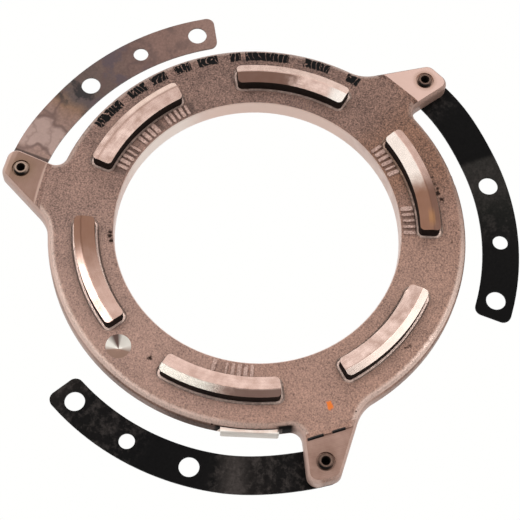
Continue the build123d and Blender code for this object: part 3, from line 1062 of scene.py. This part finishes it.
# noise layer, scale and threshold; degrees from and to, soft; colour, strength
BARE_CLOUDS = [(3, 75, 0.47, (26, 44, 4), (84, 70, 76), 0.8),
               (7, 110, 0.44, (22.5, 29.5, 2), (34, 30, 30), 0.9),
               (11, 90, 0.53, (33, 58, 5), (92, 72, 68), 0.6)]
strap_bare, shader, coords, turn, face = strap_material(
    "bare_spring_steel", 0.0, BARE_TINT_AND_SHEEN, 0.45, 0.35, 0.4, 6.0, 1.1)
drops = noise(moved(coords, (0, 0, 17)), 62.0, 2.0, 0.4)
islands = times(remap(drops, 0.5, 0.56), between(turn, 7.5, 17.5, 1.5))
face = cover(face, islands, (184, 158, 149), 0.6)
rim = times(contour(drops, 0.51, 0.05, 0.008), between(turn, 5.0, 47.0, 4.0))
face = cover(face, rim, (98, 75, 70), 0.7)
lines = contour(noise(moved(coords, (0, 0, 31)), 105.0, 3.0), 0.5, 0.07, 0.0)
face = cover(face, times(lines, between(turn, 6.5, 21.0, 2.0)), (112, 86, 78), 0.4)
for layer, size, start, stretch, tint, strength in BARE_CLOUDS:
    cloud = remap(noise(moved(coords, (0, 0, layer)), size, 4.0, 0.6), start, start + 0.1)
    face = cover(face, times(cloud, between(turn, *stretch)), tint, strength)
face = cover(face, between(turn, 4.9, 6.2, 0.25), (48, 34, 30), 0.8)
fill(shader, {"Base Color": face})
print("made", strap_bare.name)

# %% [markdown]
# The two blued straps differ only in their tables: the tint along the strap, and where thin
# clouds of dried oil lie over it.

# %% Blued straps
# lug's angle; tint along the strap, partly a painted sheen at the bend; clouds as degrees
# from and to, soft edge, strength
BLUED_TINT_AND_SHEEN = {
    "b": (120, [(0, 16, 15, 15), (6, 15, 14, 14), (8, 16, 15, 15), (22, 14, 13, 13),
                (23.2, 46, 44, 42), (32, 44, 42, 40), (36, 28, 28, 26), (45, 20, 19, 19),
                (64, 14, 13, 13)], [(-5, 8.5, 2, 0.3), (24, 44, 2, 0.28)]),
    "c": (240, [(0, 16, 15, 15), (10, 20, 18, 18), (16, 30, 27, 26), (20, 66, 61, 59),
                (24, 18, 17, 17), (42, 14, 13, 14), (50, 20, 18, 18), (58, 18, 17, 17),
                (64, 34, 31, 29)], [(-5, 25, 1.5, 0.5), (42, 70, 3, 0.45)])}
STRAP_FINISH = {"a": strap_bare}
for letter, (lug_turn, stops, clouds) in BLUED_TINT_AND_SHEEN.items():
    STRAP_FINISH[letter], shader, coords, turn, face = strap_material(
        "blued_spring_steel_" + letter, lug_turn, stops, 0.5, 0.0, 0.05, 3.0, 1.6)
    patches = remap(noise(coords, 230.0, 5.0, 0.75), 0.48, 0.66)
    for low, high, soft, strength in clouds:
        face = cover(face, times(patches, between(turn, low, high, soft)), (84, 77, 74),
                     strength)
    fill(shader, {"Base Color": face})
print("strap finishes", [finish.name for finish in STRAP_FINISH.values()])

# %% [markdown]
# Each leaf replaces its CAD leaf.

# %% Make the six leaves
for i, letter in enumerate(LUGS):
    for layer, word in enumerate(("upper", "lower")):
        leaf = run_tree(f"strap_{letter}_{word}", blank.copy(), leaf_tree,
                        STRAP_FINISH[letter], Seat_height=(0.5 - layer * LEAF_T) * MM,
                        Lug_turn=math.radians(LUG_TURN * i))
        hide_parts(f"strap_{letter}_{word}_leaf")
        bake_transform(leaf)
    print("strap", letter, len(leaf.data.polygons), "faces a leaf")

# %% [markdown]
# ## Raised casting marks
# The foundry's pattern leaves raised marks beside the bore. Here they are plain bars that
# stand for no letter. A tree sets bars along an arc, drops some of them at random with a
# fixed seed, varies their length, and rounds them as sand casting would.

# %% Mark tree
mark_tree, source, sink = geometry_tree(
    "cast_bars", Radius=0.0734, Start=0.0, Sweep=0.2, Bars=9, Bar_length=6.6 * MM,
    Bar_width=2.3 * MM, Bar_height=0.8 * MM, Face_height=RING_T * MM, Seed=3)
arc = shape("CurveArc", {"Resolution": source["Bars"], "Radius": source["Radius"],
                         "Start Angle": source["Start"], "Sweep Angle": source["Sweep"]},
            mode="RADIUS")
size = joined(source["Bar length"], source["Bar width"], times(source["Bar height"], 2.0))
bar = shape("MeshCube", {"Size": size, "Vertices X": 5, "Vertices Y": 3, "Vertices Z": 3})
bar = shape("SubdivisionSurface", {"Mesh": bar, "Level": 1})
facing = add(mark_tree, "FunctionNodeAlignRotationToVector",
             {"Vector": shape("InputTangent", tree=mark_tree)}, axis="Y", pivot_axis="Z")
keep = add(mark_tree, "FunctionNodeRandomValue",
           {"Probability": 0.92, "Seed": source["Seed"]}, data_type="BOOLEAN")
stretch = add(mark_tree, "FunctionNodeRandomValue",
              {0: (0.92, 0.5, 0.9), 1: (1, 1.15, 1), "Seed": source["Seed"]},
              data_type="FLOAT_VECTOR")
bars = shape("InstanceOnPoints", {
    "Points": arc, "Selection": keep.outputs[3], "Instance": bar,
    "Rotation": facing.outputs[0], "Scale": stretch.outputs[0]})
bars = shape("Transform", {"Geometry": bars, "Translation": joined(z=source["Face height"])})
finish_tree(sink, bars, source["Finish"])
print("tree", mark_tree.name, "with", len(mark_tree.nodes), "nodes")

# %% [markdown]
# The skin of the marks is paler than the ground between them: their tops are rubbed, and
# the pale tone is partly a painted highlight.

# %% The rows of marks
mark_skin, shader, coords = new_material("mark_skin", 0.44, 0.15, 0.4)
grain = use_group(cast_grain, Vector=coords, Contrast=2.0)
fill(shader, {"Base Color": two_tone(grain["Tone"], (136, 102, 90), (232, 198, 184),
                                     0.1, 0.9)})
bump(shader, grain["Height"], CAST_DEPTH)
marks = []
for n, (start, end, bars_here, _) in enumerate(MARKS, 1):
    marks.append(run_tree(
        f"cast_marks_{n}", bpy.data.meshes.new("arc"), mark_tree, mark_skin,
        Radius=73.6 * MM, Start=math.radians(90 - end), Sweep=math.radians(end - start),
        Bars=bars_here, Seed=n))
    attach(marks[-1], "plate")
print("marks", sum(len(m.data.polygons) for m in marks), "faces in", len(marks), "rows")

# %% [markdown]
# ## Camera
# The view looks down at the plate from its near side. The camera is placed by its distance
# and two directions, then rolled a little, and its lens is long, so circles stay round.

# %% Camera
CAMERA_AWAY, CAMERA_ROLL, CAMERA_LENS = 0.7538, math.radians(5.0), 107.14
target = Vector((-10.652, -4.436, -2.5)) * MM
back = Vector((-0.40258, -0.07425, 0.91237)).normalized()
right = (-back).cross(Vector((0, 0, 1))).normalized()
up = right.cross(-back)
side = right * math.cos(CAMERA_ROLL) + up * math.sin(CAMERA_ROLL)
top = up * math.cos(CAMERA_ROLL) - right * math.sin(CAMERA_ROLL)
lens = bpy.data.cameras.new("studio_camera")
lens.lens, lens.sensor_width, lens.clip_start = CAMERA_LENS, 36.0, 0.05
camera = new_piece("studio_camera", lens)
camera.matrix_world = Matrix.Translation(target + back * CAMERA_AWAY) @ \
    Matrix((side, top, back)).transposed().to_4x4()
bpy.context.scene.camera = camera
print("camera at", [round(v, 3) for v in camera.matrix_world.translation])

# %% [markdown]
# ## Light and floor
# Cut metal shows what it reflects, so the light is a set of large soft panels at the far
# side and at both sides, with the space above the plate left dim. The floor is white paper
# with a faint glow of its own, which keeps shadows from turning grey.

# %% Lights
def panel(name, azimuth, elevation, distance, width, height, radiance):
    """A soft light on a sphere about the plate; azimuth is counted from +X to +Y."""
    a, e = math.radians(azimuth), math.radians(elevation)
    place = Vector((math.cos(a) * math.cos(e), math.sin(a) * math.cos(e), math.sin(e)))
    light = bpy.data.lights.new(name, "AREA")
    light.shape, light.size, light.size_y = "RECTANGLE", width, height
    light.energy = radiance * math.pi * width * height
    lamp = new_piece(name, light)
    lamp.location = place * distance
    lamp.rotation_euler = place.to_track_quat("Z", "Y").to_euler()
    lamp.visible_camera = False


panel("far_panel", 12, 54, 1.3, 1.6, 1.1, 0.75)
panel("far_softbox", -6, 52, 1.3, 0.5, 0.4, 0.6)
panel("left_softbox", 77, 55, 1.2, 0.5, 0.5, 4.1)
panel("right_softbox", -70, 60, 1.2, 0.5, 0.5, 4.1)
panel("high_softbox", 100, 79, 1.3, 0.25, 0.22, 4.0)
print("lights", len(bpy.data.lights))

# %% [markdown]
# The floor lies a little under the part, because the straps reach 1 mm lower when pressed.
# Both the floor and the space around it are plain white to the camera and dimmer to the
# part, which a Light Path node tells apart.

# %% Floor and surroundings
FLOOR_HALF, FLOOR_GAP = 3.0, 1.2 * MM


def seen_as(tree, ray, other, seen, end):
    """Shows the shader of one node to one kind of ray, and another to the rest."""
    picked = add(tree, "ShaderNodeLightPath").outputs[ray]
    shown = add(tree, "ShaderNodeMixShader",
                {0: picked, 1: other.outputs[0], 2: seen.outputs[0]})
    fill(tree.nodes[end], {0: shown.outputs[0]})


paper, shader, coords = new_material("white_paper", 0.8)
fill(shader, {"Base Color": (0.4, 0.4, 0.4, 1)})
glow = add(paper.node_tree, "ShaderNodeEmission", {"Color": (1, 1, 0.99, 1), "Strength": 1})
seen_as(paper.node_tree, "Is Diffuse Ray", glow, shader, "Material Output")
level = cad_box[0][2] - FLOOR_GAP
floor_mesh = bpy.data.meshes.new("floor")
floor_mesh.from_pydata([(x * FLOOR_HALF, y * FLOOR_HALF, level)
                        for x, y in ((-1, -1), (1, -1), (1, 1), (-1, 1))], [], [(0, 1, 2, 3)])
floor_mesh.materials.append(paper)
floor = new_piece("floor", floor_mesh)

world = bpy.data.worlds.new("studio")
bpy.context.scene.world = world
world.use_nodes = True
dim = fill(world.node_tree.nodes["Background"],
           {"Color": (1.0, 0.97, 0.95, 1), "Strength": 0.35})
white = add(world.node_tree, "ShaderNodeBackground", {"Color": (1, 1, 0.99, 1)})
seen_as(world.node_tree, "Is Camera Ray", dim, white, "World Output")
bpy.context.scene.view_settings.view_transform = "Standard"
print("floor at", round(level / MM, 1), "mm")
